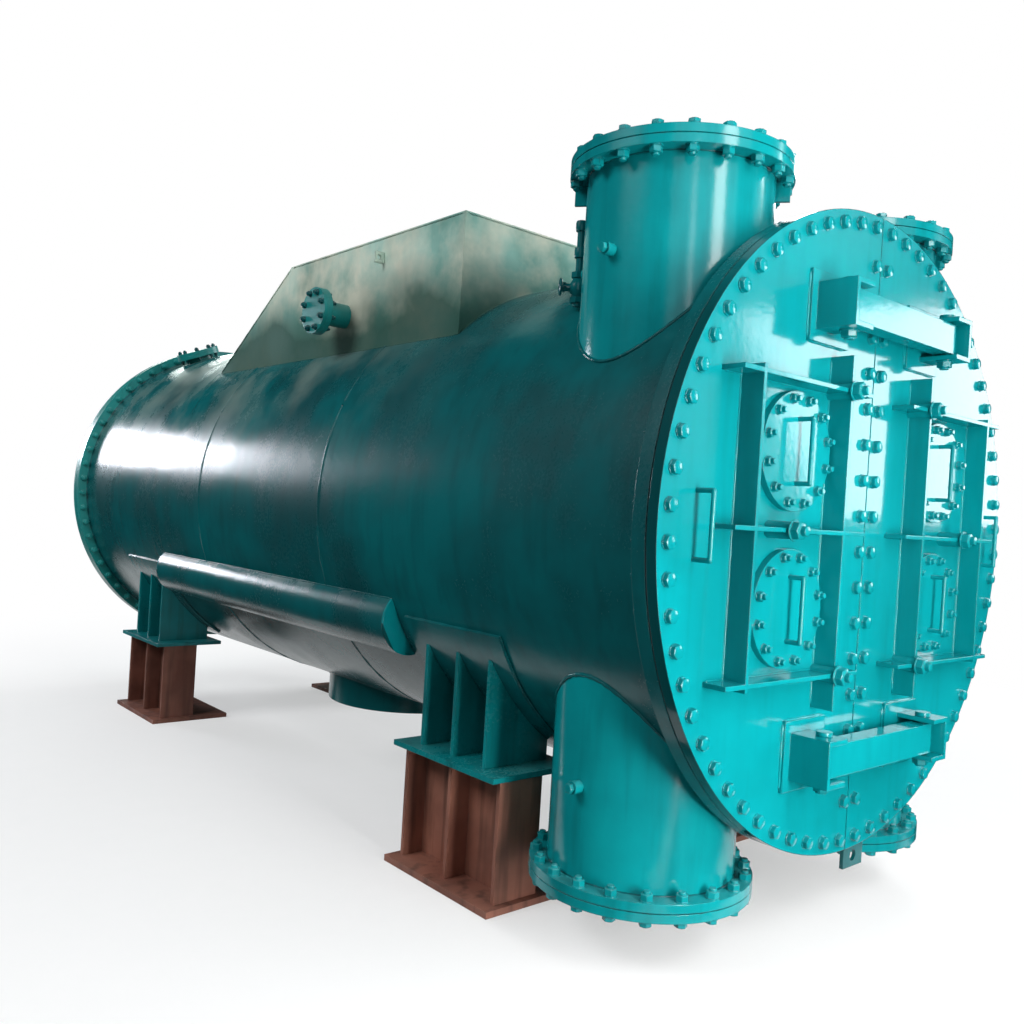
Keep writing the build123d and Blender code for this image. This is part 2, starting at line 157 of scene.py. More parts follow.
def hexagonOnWasher(thread, flats, high):
    # profile rows of a washer with a hexagon on it, and the height of the hexagon's top
    corner = flats / 2 / math.cos(math.pi / 6)
    rim, thick, sunk, chamfer = flats * 0.62, thread * 0.13, 0.002, thread * 0.08
    top = thick + high
    rows = [(0, -sunk, 0), (rim, -sunk, 0), (rim, thick, 0), (corner, thick, 1), (corner, top - chamfer, 1)]
    return rows, top


def boltHead(thread, flats, head=0.64):
    # sizes that follow the thread are given as parts of its diameter
    rows, top = hexagonOnWasher(thread, flats, thread * head)
    return turned(rows + [(flats * 0.45, top, 0), (0, top, 0)])


def nutOnStud(thread, flats, tip=0.45):
    # the end of the stud stands out of the nut by the tip
    rows, top = hexagonOnWasher(thread, flats, thread * 0.85)
    return turned(rows + [
        (flats * 0.46, top, 0), (thread * 0.5, top, 0), (thread * 0.5, top + thread * (tip - 0.08), 0),
        (thread * 0.42, top + thread * tip, 0), (0, top + thread * tip, 0)])


def evenAngles(count):
    # bolt holes straddle the axes, so the first stands half a step round
    return tau * (np.arange(count) + 0.5) / count


def onCircle(radius, angles, y=None, z=None, x=0.0, centre=None):
    # points on a circle about the shell axis at depth y, or about an upright axis at height z
    if z is None:
        middle = axisZ if centre is None else centre
        return np.stack([x + radius * np.cos(angles), np.full_like(angles, y),
                         middle + radius * np.sin(angles)], -1)
    return np.stack([x + radius * np.cos(angles), y + radius * np.sin(angles),
                     np.full_like(angles, z)], -1)


def bead(path, width, closed=False):
    # a weld bead: a six-sided round profile carried along a path, its size rippled by a slow sine
    # and a little chance, and drawn to a point at open ends
    path = np.asarray(path, float)
    ahead = np.gradient(path, axis=0)
    if closed:
        ahead = np.roll(path, -1, 0) - np.roll(path, 1, 0)
    ahead /= np.linalg.norm(ahead, axis=1, keepdims=True) + 1e-12
    side, up = sideAndUp(ahead)
    size = width * (0.5 + 0.05 * np.sin(np.arange(len(path)) * 1.7) + spread.normal(0, 0.03, len(path)))
    if not closed:
        size[0] = size[-1] = 1e-7
    sides = 6
    turn = tau * np.arange(sides) / sides
    points = path[:, None] + size[:, None, None] * (
        np.cos(turn)[None, :, None] * side[:, None] + np.sin(turn)[None, :, None] * up[:, None]
    )
    return points, gridFaces(len(path), sides, closeRows=closed)


def line(start, end, step=0.03):
    # evenly spaced points from start to end
    start, end = np.array(start, float), np.array(end, float)
    count = max(4, int(np.linalg.norm(end - start) / step))
    return start + (end - start) * np.linspace(0, 1, count)[:, None]


def beadsRound(corners, width, step=0.03):
    # straight beads from each corner to the next one and back to the first
    return [bead(line(start, end, step), width) for start, end in zip(corners, corners[1:] + corners[:1])]


# materials
def hexColour(text):
    # an sRGB hex colour as linear numbers
    value = np.array([int(text[i:i + 2], 16) for i in (1, 3, 5)]) / 255
    linear = np.where(value <= 0.04045, value / 12.92, ((value + 0.055) / 1.055) ** 2.4)
    return (*linear.tolist(), 1.0)


def addNode(tree, kind, settings=None, links=None):
    # one node with its settings, by attribute or by socket, and the links into it
    made = tree.nodes.new(kind)
    for key, value in (settings or {}).items():
        if isinstance(key, str) and hasattr(made, key):
            setattr(made, key, value)
        else:
            made.inputs[key].default_value = value
    for key, source in (links or {}).items():
        tree.links.new(source, made.inputs[key])
    return made


def feed(tree, socket, value):
    # a link from another node, or a plain number or colour
    if isinstance(value, bpy.types.NodeSocket):
        tree.links.new(value, socket)
    else:
        socket.default_value = value


def rampNode(tree, source, stops):
    # a grey ramp through (place, level) stops
    made = addNode(tree, "ShaderNodeValToRGB", links={"Fac": source})
    for element, (place, level) in zip(made.color_ramp.elements, stops):
        element.position = place
        element.color = (level, level, level, 1)
    return made.outputs["Color"]


def mixColour(tree, amount, first, second):
    made = addNode(tree, "ShaderNodeMix", {"data_type": "RGBA"})
    for place, value in ((0, amount), (6, first), (7, second)):
        feed(tree, made.inputs[place], value)
    return made.outputs[2]


def mathNode(tree, operation, *values, clamp=False):
    made = addNode(tree, "ShaderNodeMath", {"operation": operation, "use_clamp": clamp})
    for place, value in enumerate(values):
        feed(tree, made.inputs[place], value)
    return made.outputs[0]


def rangeNode(tree, value, start, end, low=0.0, high=1.0):
    # value from start to end becomes low to high
    return addNode(tree, "ShaderNodeMapRange", {
        "From Min": start, "From Max": end, "To Min": low, "To Max": high}, {0: value}).outputs[0]


def noiseNode(tree, place, size, detail=3.0, rough=0.55, stretch=None):
    # noise with cells about this many metres across
    if stretch:
        place = addNode(tree, "ShaderNodeMapping", {"Scale": stretch}, {"Vector": place}).outputs[0]
    return addNode(tree, "ShaderNodeTexNoise", {"Scale": 1 / size, "Detail": detail, "Roughness": rough},
                   {"Vector": place}).outputs["Fac"]


def emptyMaterial(name):
    # a material with nothing in its tree yet but the object's own coordinates
    material = bpy.data.materials.new(name)
    material.use_nodes = True
    tree = material.node_tree
    tree.nodes.clear()
    return material, tree, addNode(tree, "ShaderNodeTexCoord").outputs["Object"]


def machinePaint(name, look):
    # machine paint on plate: a gloss alkyd coat, laid on by roller and spray, so the eye gets soft
    # ripples in the reflections, broad shifts of tone, dust on what faces up (on the shell with a painted
    # sheen in it), thin worn edges and a painted shade on the doors' rims
    material, tree, place = emptyMaterial(name)
    shape = addNode(tree, "ShaderNodeNewGeometry")
    along = addNode(tree, "ShaderNodeSeparateXYZ", links={0: place}).outputs

    broad = noiseNode(tree, place, 0.55, 4)
    cloudy = rampNode(tree, broad, [(0.36, 0.0), (0.64, 1.0)])
    colour = mixColour(tree, cloudy, hexColour(look["paint"]), hexColour(look["paintDeep"]))
    streaks = noiseNode(tree, place, 0.5, 3, 0.5, (9, 9, 0.9))
    streaked = mathNode(tree, "MULTIPLY", rampNode(tree, streaks, [(0.5, 0.0), (0.72, 1.0)]), look["runs"])
    colour = mixColour(tree, streaked, colour, hexColour(look["runColour"]))

    facing = addNode(tree, "ShaderNodeSeparateXYZ", links={0: shape.outputs["Normal"]}).outputs["Z"]
    upward = rampNode(tree, facing, [(0.15, 0.0), (0.9, 1.0)])
    settled = rampNode(tree, noiseNode(tree, place, look["dustSize"], 5, 0.6), [(0.42, 0.0), (0.66, 1.0)])
    dustAndSheen = mathNode(tree, "MULTIPLY", upward, look["dustOnTop"])
    if "dustAndSheenFrom" in look:  # on the shell the top is painted paler towards the rear and less so at the door end: dust, and with it a painted sheen
        dustAndSheen = mathNode(tree, "MULTIPLY", dustAndSheen, rangeNode(tree, along["Y"], *look["dustAndSheenFrom"]))
    dustAndSheen = mathNode(tree, "ADD", dustAndSheen, look["dustAll"])
    dustAndSheen = mathNode(tree, "MULTIPLY", dustAndSheen, settled, clamp=True)
    colour = mixColour(tree, dustAndSheen, colour, hexColour(look["dust"]))

    if "footShade" in look:  # the steam hood is painted darker low down, towards its foot on the shell
        sway = 0.5  # metres that the edge of the dark foot would swing over the whole range of the noise
        low, high = look["footShade"]
        level = mathNode(tree, "MULTIPLY_ADD", broad, sway, along["Z"])
        shade = rangeNode(tree, level, low + sway / 2, high + sway / 2, 0.9, 0.0)
        colour = mixColour(tree, shade, colour, hexColour(look["footColour"]))

    rounded = addNode(tree, "ShaderNodeBevel", {"samples": 4, "Radius": look["edgeRadius"]})
    same = addNode(tree, "ShaderNodeVectorMath", {"operation": "DOT_PRODUCT"},
                   {0: rounded.outputs[0], 1: shape.outputs["Normal"]}).outputs["Value"]
    edge = mathNode(tree, "SUBTRACT", 1.0, same, clamp=True)
    chipped = rampNode(tree, noiseNode(tree, place, 0.05, 4, 0.7), [(0.5, 0.0), (0.62, 1.0)])
    worn = mathNode(tree, "MULTIPLY", mathNode(tree, "MULTIPLY", edge, look["wear"], clamp=True), chipped)
    colour = mixColour(tree, worn, colour, hexColour(look["underneath"]))

    if "rimShade" in look:  # painted shade: the doors' rims are painted the shell's darker tone, standing in for their shade and dark reflections
        fromAxis = addNode(tree, "ShaderNodeVectorMath", {
            "operation": "MULTIPLY_ADD", 1: (1, 0, 1), 2: (0, 0, -axisZ)}, {0: place}).outputs[0]
        outward = addNode(tree, "ShaderNodeVectorMath", {"operation": "LENGTH"},
                          {0: fromAxis}).outputs["Value"]
        rim = mathNode(tree, "GREATER_THAN", outward, coverRadius - 0.0015)
        colour = mixColour(tree, rim, colour, hexColour(look["rimShade"]))

    speck = rampNode(tree, noiseNode(tree, place, 0.012, 2, 0.6), [(0.3, 0.0), (0.7, 1.0)])
    rough = mixColour(tree, cloudy, (look["gloss"],) * 3 + (1,), (look["glossDull"],) * 3 + (1,))
    rough = mathNode(tree, "ADD", rough, mathNode(tree, "MULTIPLY", speck, 0.05))
    rough = mathNode(tree, "ADD", rough, mathNode(tree, "MULTIPLY", dustAndSheen, 0.35), clamp=True)

    fine = noiseNode(tree, place, look["rippleSize"], 2, 0.5)
    wide = noiseNode(tree, place, look["rippleSize"] * 9, 1, 0.5)
    ripple = mathNode(tree, "ADD", fine, mathNode(tree, "MULTIPLY", wide, look["wave"]))
    relief = addNode(tree, "ShaderNodeBump", {"Strength": 1.0, "Distance": look["rippleDepth"]},
                     {"Height": ripple, "Normal": rounded.outputs[0]})
    shader = addNode(tree, "ShaderNodeBsdfPrincipled", {"IOR": look["ior"], "Metallic": 0.0},
                     {"Base Color": colour, "Roughness": rough, "Normal": relief.outputs[0]})
    addNode(tree, "ShaderNodeOutputMaterial", links={"Surface": shader.outputs[0]})
    return material


def rolledBrass(name):
    # naval brass plate, rolled and faced: fine parallel tool marks and a dull brown bloom
    material, tree, place = emptyMaterial(name)
    bloom = addNode(tree, "ShaderNodeTexNoise", {"Scale": 4.0, "Detail": 5.0},
                    {"Vector": place}).outputs["Fac"]
    colour = mixColour(tree, rampNode(tree, bloom, [(0.4, 0.0), (0.65, 1.0)]),
                       hexColour("#a8834a"), hexColour("#6e5636"))
    marks = addNode(tree, "ShaderNodeTexNoise", {"Scale": 60.0, "Detail": 2.0}, {
        "Vector": addNode(tree, "ShaderNodeMapping", {"Scale": (0.2, 1, 6)}, {"Vector": place}).outputs[0]})
    relief = addNode(tree, "ShaderNodeBump", {"Strength": 0.6, "Distance": 0.0004},
                     {"Height": marks.outputs["Fac"]})
    rough = mathNode(tree, "ADD", 0.32, mathNode(tree, "MULTIPLY", bloom, 0.2))
    shader = addNode(tree, "ShaderNodeBsdfPrincipled", {"Metallic": 1.0},
                     {"Base Color": colour, "Roughness": rough, "Normal": relief.outputs[0]})
    addNode(tree, "ShaderNodeOutputMaterial", links={"Surface": shader.outputs[0]})
    return material


def sheetRubber(name):
    # pressed rubber sheet with cloth print: near black and matt, with a fine grey grain
    material, tree, place = emptyMaterial(name)
    grain = addNode(tree, "ShaderNodeTexNoise", {"Scale": 300.0, "Detail": 3.0},
                    {"Vector": place}).outputs["Fac"]
    colour = mixColour(tree, grain, hexColour("#141617"), hexColour("#2b2d2c"))
    relief = addNode(tree, "ShaderNodeBump", {"Strength": 0.5, "Distance": 0.0004}, {"Height": grain})
    shader = addNode(tree, "ShaderNodeBsdfPrincipled", {"IOR": 1.52, "Roughness": 0.75},
                     {"Base Color": colour, "Normal": relief.outputs[0]})
    addNode(tree, "ShaderNodeOutputMaterial", links={"Surface": shader.outputs[0]})
    return material


paintLook = {  # what all the paints share; sizes in metres
    "runs": 0.25, "runColour": "#0b3a3c", "dust": "#8f9584", "dustSize": 0.4, "dustOnTop": 0.15,
    "dustAll": 0.0, "wear": 1.2, "underneath": "#5b3a30", "edgeRadius": 0.004, "gloss": 0.2,
    "glossDull": 0.3, "rippleSize": 0.02, "rippleDepth": 0.0004, "wave": 4.0, "ior": 1.45,
}
paints = {
    "door_paint": machinePaint("glossAlkydDoor", {
        **paintLook, "paint": "#07949b", "paintDeep": "#05858b", "gloss": 0.05, "glossDull": 0.1,
        # the rim colour is a painted shade along the doors' rims
        "ior": 1.42, "runs": 0.12, "dustOnTop": 0.05, "rippleDepth": 0.0002, "rimShade": "#0a4a4d"}),
    "nozzle_paint": machinePaint("glossAlkydNozzle", {
        **paintLook, "paint": "#0a979c", "paintDeep": "#087f85", "gloss": 0.1, "glossDull": 0.17,
        "ior": 1.4, "rippleDepth": 0.0003}),
    "shell_paint": machinePaint("satinAlkydShell", {
        **paintLook, "paint": "#0b696d", "paintDeep": "#094d51", "gloss": 0.16, "glossDull": 0.27,
        # the shell's top dust, heavier towards the rear, also stands in for a painted sheen there
        "dustOnTop": 0.85, "dustAndSheenFrom": (-1.5, 0.3), "dust": "#8c9d92", "wear": 0.5, "runs": 0.25,
        "runColour": "#0b3033", "ior": 1.4}),
    "flange_paint": machinePaint("glossAlkydFlange", {
        **paintLook, "paint": "#22a29e", "paintDeep": "#15807e", "gloss": 0.25, "glossDull": 0.35,
        "dustOnTop": 0.3, "ior": 1.4}),
    "hood_paint": machinePaint("thinSprayedHood", {
        **paintLook, "paint": "#a2d2c6", "paintDeep": "#5a8c80", "footShade": (2.25, 2.46),
        "footColour": "#2b5248", "gloss": 0.66, "glossDull": 0.78, "ior": 1.18, "dustAll": 0.7,
        "dustSize": 0.42, "dust": "#efe8d4", "runs": 0.12, "runColour": "#3d655c"}),
    "saddle_paint": machinePaint("brushedAlkydSaddle", {
        **paintLook, "paint": "#0f8d91", "paintDeep": "#0a6b6f", "gloss": 0.22, "glossDull": 0.35,
        "runs": 0.45, "runColour": "#082c2e", "ior": 1.4}),
    "primer": machinePaint("redLeadPrimer", {
        **paintLook, "paint": "#a86f5c", "paintDeep": "#6d4236", "gloss": 0.42, "glossDull": 0.6,
        "runs": 0.6, "runColour": "#1f1411", "dustAll": 0.25, "dust": "#6e5a50",
        "underneath": "#8a7468", "ior": 1.4}),
    "inner_coating": machinePaint("greyEpoxyLining", {
        **paintLook, "paint": "#8b8f8c", "paintDeep": "#737775", "gloss": 0.3, "glossDull": 0.4,
        "runs": 0.2, "runColour": "#5d5f5c", "underneath": "#5b3a30"}),
    "tube_sheet_metal": rolledBrass("facedNavalBrass"),
    "gasket": sheetRubber("pressedRubberSheet"),
}
slotOf = {row["node"]: row["material_slot"] for row in frame["record"]["subparts"]}
for name, node in nodes.items():
    node.data.materials.clear()
    node.data.materials.append(paints[slotOf[name]])
print("paints on", len(nodes), "nodes")


# bolts round the doors and in two rows beside the split, with nuts behind the front flange
rimBolts = {"count": 64, "circle": 1.047, "thread": 0.024, "flats": 0.037, "head": 0.66}
centreBolts = {"across": 0.038, "first": 0.061, "pitch": 0.122, "each": 8}
rimPlaces = onCircle(rimBolts["circle"], evenAngles(rimBolts["count"]), y=doorFace)
rimHead = boltHead(rimBolts["thread"], rimBolts["flats"], rimBolts["head"])
rimNut = nutOnStud(rimBolts["thread"], rimBolts["flats"])
rows = centreBolts["first"] + centreBolts["pitch"] * np.arange(centreBolts["each"])
heights = axisZ + np.concatenate([-rows[::-1], rows])
for side, body, name in doors:
    onSide = rimPlaces[np.sign(rimPlaces[:, 0]) == side]
    middle = np.stack([np.full_like(heights, side * centreBolts["across"]),
                       np.full_like(heights, doorFace), heights], -1)
    form = placeMany(*rimHead, np.concatenate([onSide, middle]), (0, -1, 0))
    makePiece(name + "_door_bolts", form, body, "door_paint")
backPlaces = rimPlaces.copy()
backPlaces[:, 1] = frontFlange[1].y
makePiece("front_flange_nuts", placeMany(*rimNut, backPlaces, (0, 1, 0)), "root", "shell_paint")

# nuts of the inspection covers, on studs
manholeNuts = {"count": 12, "circle": 0.165, "thread": 0.018, "flats": 0.027, "tip": 0.7, "x": 0.475,
               "z": 0.245}
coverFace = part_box("left_manhole_covers")[0].y
manholeNut = nutOnStud(manholeNuts["thread"], manholeNuts["flats"], manholeNuts["tip"])
for side, body, name in doors:
    places = np.concatenate([
        onCircle(manholeNuts["circle"], evenAngles(manholeNuts["count"]), y=coverFace,
                 x=side * manholeNuts["x"], centre=axisZ + above * manholeNuts["z"])
        for above in (1, -1)])
    makePiece(name + "_manhole_nuts", placeMany(*manholeNut, places, (0, -1, 0)), body, "door_paint")

# stay nuts on the ribs: a round sleeve from the door to past the rib edge, a collar, a nut and a
# stud end; the places are sideways and above the shell axis
stayNuts = {"thread": 0.03, "flats": 0.05, "sleeve": 0.027, "collar": 1.22, "collarThick": 0.004,
            "length": 0.092, "nut": 0.026, "chamfer": 0.003, "tip": 0.016, "point": 0.018,
            "places": ((0.27, 0.455), (0.27, -0.455), (0.57, 0))}
corner = stayNuts["flats"] / 2 / math.cos(math.pi / 6)
sleeve, stud, length = stayNuts["sleeve"], stayNuts["thread"] / 2, stayNuts["length"]
collar, collarFoot = sleeve * stayNuts["collar"], length - stayNuts["collarThick"]
top = length + stayNuts["nut"]
stayNut = turned([
    (0, 0, 0), (sleeve, 0, 0), (sleeve, collarFoot, 0), (collar, collarFoot, 0), (collar, length, 0),
    (corner, length, 1), (corner, top - stayNuts["chamfer"], 1), (stayNuts["flats"] * 0.45, top, 0),
    (stud, top, 0), (stud, top + stayNuts["tip"], 0), (0, top + stayNuts["point"], 0),
], 24)
for side, body, name in doors:
    places = [(side * x, doorFace, axisZ + z) for x, z in stayNuts["places"]]
    makePiece(name + "_stay_nuts", placeMany(*stayNut, places, (0, -1, 0)), body, "door_paint")

# flange bolts of the four water nozzles: heads outside, nuts on studs inside
nozzleBolts = {"count": 20, "circle": 0.352, "thread": 0.024, "flats": 0.036, "head": 0.6, "tip": 0.35,
               "flange": 0.028}
nozzleHead = boltHead(nozzleBolts["thread"], nozzleBolts["flats"], nozzleBolts["head"])
nozzleNut = nutOnStud(nozzleBolts["thread"], nozzleBolts["flats"], nozzleBolts["tip"])
nozzleInner = upperNozzle[1].z - nozzleBolts["flange"]  # inner face of the fixed flange
for above, name, counter in ((1, "upper", upperCounter), (-1, "lower", lowerCounter)):
    outer = counter[1].z if above > 0 else counter[0].z
    inner = axisZ + above * (nozzleInner - axisZ)
    sets = []
    for side in (-1, 1):
        for form, z, outward in ((nozzleHead, outer, above), (nozzleNut, inner, -above)):
            places = onCircle(nozzleBolts["circle"], evenAngles(nozzleBolts["count"]), y=nozzleY, z=z,
                              x=side * nozzleX)
            sets.append(placeMany(*form, places, (0, 0, outward)))
    makePiece(name + "_nozzle_bolts", joinSets(sets), "root", "nozzle_paint")

# rear flange: nuts towards the doors, heads on the rear cover
rearBolts = {"count": 64, "circle": 1.043, "thread": 0.024, "flats": 0.036}
rearNut = nutOnStud(rearBolts["thread"], rearBolts["flats"])
rearHead = boltHead(rearBolts["thread"], rearBolts["flats"])
rearAngles = evenAngles(rearBolts["count"])
makePiece("rear_flange_bolts", joinSets([
    placeMany(*rearNut, onCircle(rearBolts["circle"], rearAngles, y=rearFlange[0].y), (0, -1, 0)),
    placeMany(*rearHead, onCircle(rearBolts["circle"], rearAngles, y=rearCover[1].y), (0, 1, 0)),
]), "root", "flange_paint")
print("bolts done")


# small nozzles of the hood and the vent: short stud ends outside, long ones inside
smallBolts = {"count": 8, "circle": 0.088, "thread": 0.016, "flats": 0.024, "short": 0.4, "long": 0.8,
              "flange": 0.022}
shortNut = nutOnStud(smallBolts["thread"], smallBolts["flats"], smallBolts["short"])
longNut = nutOnStud(smallBolts["thread"], smallBolts["flats"], smallBolts["long"])
stubBox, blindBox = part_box("hood_stubs"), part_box("hood_stub_blinds")
stubY = (blindBox[0].y + blindBox[1].y) / 2
stubZ = (blindBox[0].z + blindBox[1].z) / 2
smallAngles = evenAngles(smallBolts["count"])
sets = []
for side in (-1, 1):
    inner = stubBox[1].x - smallBolts["flange"]
    for form, x, outward in ((shortNut, blindBox[1].x, side), (longNut, inner, -side)):
        places = np.stack([np.full_like(smallAngles, side * x),
                           stubY + smallBolts["circle"] * np.cos(smallAngles),
                           stubZ + smallBolts["circle"] * np.sin(smallAngles)], -1)
        sets.append(placeMany(*form, places, (outward, 0, 0)))
makePiece("hood_stub_bolts", joinSets(sets), "root", "shell_paint")

vent = {"angle": math.radians(113), "depth": 4.889, "reach": 1.065, "circle": 0.116, "flange": 0.022}
outwards = np.array([math.cos(vent["angle"]), 0, math.sin(vent["angle"])])
across = np.array([-math.sin(vent["angle"]), 0, math.cos(vent["angle"])])
along = np.array([0, 1.0, 0])
ventRoot = np.array([0, doorFace + vent["depth"], axisZ])
ring = vent["circle"] * (np.cos(smallAngles)[:, None] * across + np.sin(smallAngles)[:, None] * along)
makePiece("vent_bolts", joinSets([
    placeMany(*shortNut, ventRoot + outwards * (vent["reach"] + vent["flange"]) + ring, outwards),
    placeMany(*longNut, ventRoot + outwards * (vent["reach"] - vent["flange"]) + ring, -outwards),
]), "root", "shell_paint")

# plugs in the half couplings of the water nozzles; beside each upper nozzle a drain valve with a
# small riser pipe, held to the nozzle at two places; heights are above the shell axis
fittings = {"height": 0.855, "short": 0.034, "angle": math.radians(114.5), "reach": 0.35,
            "valve": 0.745, "middle": 0.811, "clip": 0.935, "elbow": 1.03, "pipe": 0.0135, "stay": 0.04}
wheelLook = {"ring": 0.027, "rim": 0.0045, "out": 0.064, "spoke": 0.0035}
plug = turned([(0, -0.004, 0), (0.0118, -0.004, 0), (0.0118, 0.003, 0), (0.017, 0.003, 1),
               (0.017, 0.015, 1), (0.0135, 0.0175, 0), (0, 0.0175, 0)])
valveBody = turned([(0, 0, 0), (0.016, 0, 0), (0.016, 0.012, 0), (0.027, 0.012, 1), (0.027, 0.032, 1),
                    (0.02, 0.033, 0), (0.03, 0.05, 0), (0.034, 0.066, 0), (0.03, 0.082, 0),
                    (0.02, 0.099, 0), (0.027, 0.1, 1), (0.027, 0.121, 1), (0.018, 0.123, 0),
                    (0, 0.123, 0)], 24)
stem = turned([(0, 0, 0), (0.014, 0, 0), (0.014, 0.045, 0), (0.018, 0.045, 1), (0.018, 0.056, 1),
               (0.006, 0.0565, 0), (0.006, 0.07, 0), (0, 0.07, 0)], 24)
wheelTurn, rimTurn = np.meshgrid(tau * np.arange(24) / 24, tau * np.arange(8) / 8, indexing="ij")
# a torus: the distance out is the ring's radius plus the rim's own radius times a cosine
wheelOut = wheelLook["ring"] + wheelLook["rim"] * np.cos(rimTurn)
wheel = (np.stack([wheelOut * np.cos(wheelTurn), wheelOut * np.sin(wheelTurn),
                   wheelLook["out"] + wheelLook["rim"] * np.sin(rimTurn)], -1),
         gridFaces(24, 8, closeRows=True))
spoke = turned([(0, -wheelLook["ring"], 0), (wheelLook["spoke"], -wheelLook["ring"], 0),
                (wheelLook["spoke"], wheelLook["ring"], 0), (0, wheelLook["ring"], 0)], 8)


def rod(length, sides):
    # a plain round length of the riser's pipe
    return turned([(0, 0, 0), (fittings["pipe"], 0, 0), (fittings["pipe"], length, 0), (0, length, 0)], sides)


riser = rod(fittings["elbow"] - fittings["height"], 24)
standOff = rod(fittings["stay"], 16)
joint = turned([(0, -0.018, 0), (0.019, -0.018, 0), (0.021, -0.012, 0), (0.021, 0.012, 0),
                (0.019, 0.018, 0), (0, 0.018, 0)], 24)
plugSets, valveSets = [], []
for side in (-1, 1):
    centre = np.array([side * nozzleX, nozzleY, axisZ])
    for above in (1, -1):
        shift = np.array([side * (nozzleRadius + fittings["short"]), 0, above * fittings["height"]])
        plugSets.append(placeMany(*plug, centre + shift, (side, 0, 0)))
    away = np.array([-side * math.cos(fittings["angle"]), math.sin(fittings["angle"]), 0])
    foot = centre + away * fittings["reach"]
    upright = {key: foot + np.array([0, 0, fittings[key]])
               for key in ("height", "valve", "middle", "clip", "elbow")}
    handle = np.array([side * 0.8, 0.6, 0])
    hub = upright["middle"] + handle * wheelLook["out"]
    for form, place, ahead in (
        (valveBody, upright["valve"], (0, 0, 1)), (riser, upright["height"], (0, 0, 1)),
        (joint, upright["clip"], (0, 0, 1)), (standOff, upright["clip"], -away),
        (joint, upright["elbow"], (0, 0, 1)), (standOff, upright["elbow"], -away),
        (stem, upright["middle"], handle), (wheel, upright["middle"], handle),
        (spoke, hub, (0, 0, 1)), (spoke, hub, (-side * 0.6, 0.8, 0)),
    ):
        valveSets.append(placeMany(*form, place, ahead, turn=False))
makePiece("nozzle_plugs", joinSets(plugSets), "root", "nozzle_paint")
makePiece("nozzle_valves", joinSets(valveSets), "root", "shell_paint")

# nuts under the link pins
pinNut = turned([(0, 0, 0), (0.03, 0, 0), (0.03, 0.004, 0), (0.0265, 0.004, 1), (0.0265, 0.022, 1),
                 (0.02, 0.0245, 0), (0, 0.0245, 0)])
underBracket = 0.0753  # from the middle of a link down to the underside of its brackets
pins = (("left", "links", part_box("left_pins")), ("right", "root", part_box("right_pins")))
for name, body, (low, high) in pins:
    x, y = (low.x + high.x) / 2, (low.y + high.y) / 2
    places = [(x, y, axisZ + above * linkLevel - underBracket) for above in (1, -1)]
    makePiece(name + "_pin_nuts", placeMany(*pinNut, places, (0, 0, -1)), body, "door_paint")


# weld beads of the shell: its rings, both flanges, side pipes, wear plates and hotwell
weld = {"shell": 0.016, "nozzle": 0.013, "fillet": 0.011, "rib": 0.008, "sunk": 0.004,
        "rings": (1.975, 3.27), "lid": 0.006}
full = tau * np.arange(220) / 220
shellSeams = [bead(onCircle(shellRadius - weld["sunk"], full, y=doorFace + depth), weld["shell"], closed=True)
              for depth in weld["rings"]]
for y in (frontFlange[1].y, rearFlange[0].y):
    shellSeams.append(bead(onCircle(shellRadius, full, y=y), weld["fillet"], closed=True))
# the lines where a side pipe meets the shell, by the law of cosines: half the angle between them
# follows from the two radii and the distance between the two centres
pipe = {"centre": 0.966, "radius": 0.1365, "angle": math.radians(208.8), "start": 1.459, "end": 3.901}
halfAngle = math.acos((pipe["centre"] ** 2 + shellRadius ** 2 - pipe["radius"] ** 2)
                      / (2 * pipe["centre"] * shellRadius))
for side in (-1, 1):
    for edge in (-halfAngle, halfAngle):
        x = -side * shellRadius * math.cos(pipe["angle"] + edge)
        z = axisZ + shellRadius * math.sin(pipe["angle"] + edge)
        seam = line((x, doorFace + pipe["start"], z), (x, doorFace + pipe["end"], z))
        shellSeams.append(bead(seam, weld["rib"]))
# wear plates of the legs: a rectangle bent round the shell
pads = {"start": 25, "end": 58, "half": 0.29, "depths": (1.103, 4.257), "out": 0.004, "steps": 24}
turn = np.radians(np.linspace(pads["start"], pads["end"], pads["steps"]))
for side in (-1, 1):
    for depth in pads["depths"]:
        near, far = (np.stack([side * (shellRadius + pads["out"]) * np.cos(turn),
                               np.full(pads["steps"], doorFace + depth + shift),
                               axisZ - (shellRadius + pads["out"]) * np.sin(turn)], -1)
                     for shift in (-pads["half"], pads["half"]))
        loop = np.concatenate([near, line(near[-1], far[-1])[1:-1], far[::-1], line(far[0], near[0])[1:-1]])
        shellSeams.append(bead(loop, weld["rib"], closed=True))
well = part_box("hotwell")
wellRadius, wellY = (well[1].x - well[0].x) / 2, (well[0].y + well[1].y) / 2
x = wellRadius * np.cos(full)
wellRoot = np.stack([x, wellY + wellRadius * np.sin(full), axisZ - np.sqrt(shellRadius ** 2 - x ** 2)], -1)
shellSeams.append(bead(wellRoot, weld["fillet"], closed=True))
makePiece("shell_welds", joinSets(shellSeams), "root", "shell_paint", crease=60)

# nozzles: the curve where an upright pipe meets the shell, and the back of its flange
nozzleSeams = []
for side in (-1, 1):
    x = side * nozzleX + nozzleRadius * np.cos(full)
    for above in (1, -1):
        root = np.stack([x, nozzleY + nozzleRadius * np.sin(full),
                         axisZ + above * np.sqrt(shellRadius ** 2 - x ** 2)], -1)
        nozzleSeams.append(bead(root, weld["nozzle"], closed=True))
        neck = onCircle(nozzleRadius, full, y=nozzleY, z=axisZ + above * (nozzleInner - axisZ),
                        x=side * nozzleX)
        nozzleSeams.append(bead(neck, weld["rib"], closed=True))
makePiece("nozzle_welds", joinSets(nozzleSeams), "root", "shell_paint", crease=60)

